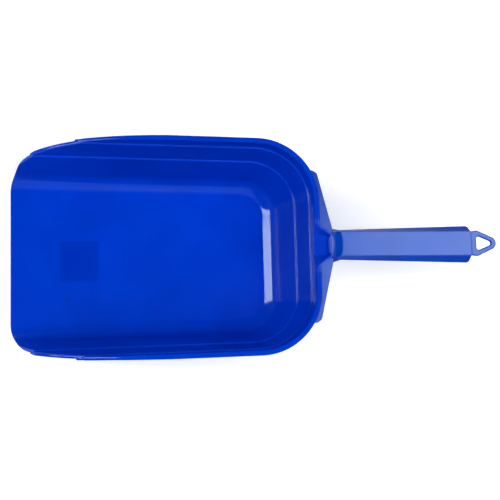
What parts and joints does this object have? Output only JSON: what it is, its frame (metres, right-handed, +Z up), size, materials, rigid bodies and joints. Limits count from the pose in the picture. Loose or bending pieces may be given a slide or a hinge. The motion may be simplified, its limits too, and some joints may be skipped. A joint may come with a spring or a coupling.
{
  "type": "feed scoop",
  "caption": "One-piece moulded plastic feed scoop: open-mouthed flat-floored pan with terraced walls and lip, channel grip and hanging eye.",
  "frame": {"origin": "centre of the whole scoop's footprint, on the flat underside of the pan's floor", "axes": "+X from the open mouth towards the handle, +Y towards the scoop's left wall, +Z up out of the pan"},
  "size_m": [0.368, 0.1658, 0.0849],
  "materials": {
    "blue_plastic": "smooth glossy injection-moulded polyolefin"
  },
  "bodies": {
    "root": {"pan_floor": "blue_plastic", "left_wall": "blue_plastic", "right_wall": "blue_plastic", "rear_wall": "blue_plastic", "rim_lip": "blue_plastic", "throat": "blue_plastic", "left_gusset": "blue_plastic", "right_gusset": "blue_plastic", "grip_plate": "blue_plastic", "left_grip_flange": "blue_plastic", "right_grip_flange": "blue_plastic", "grip_ribs": "blue_plastic", "hang_loop": "blue_plastic"}
  },
  "joints": []
}
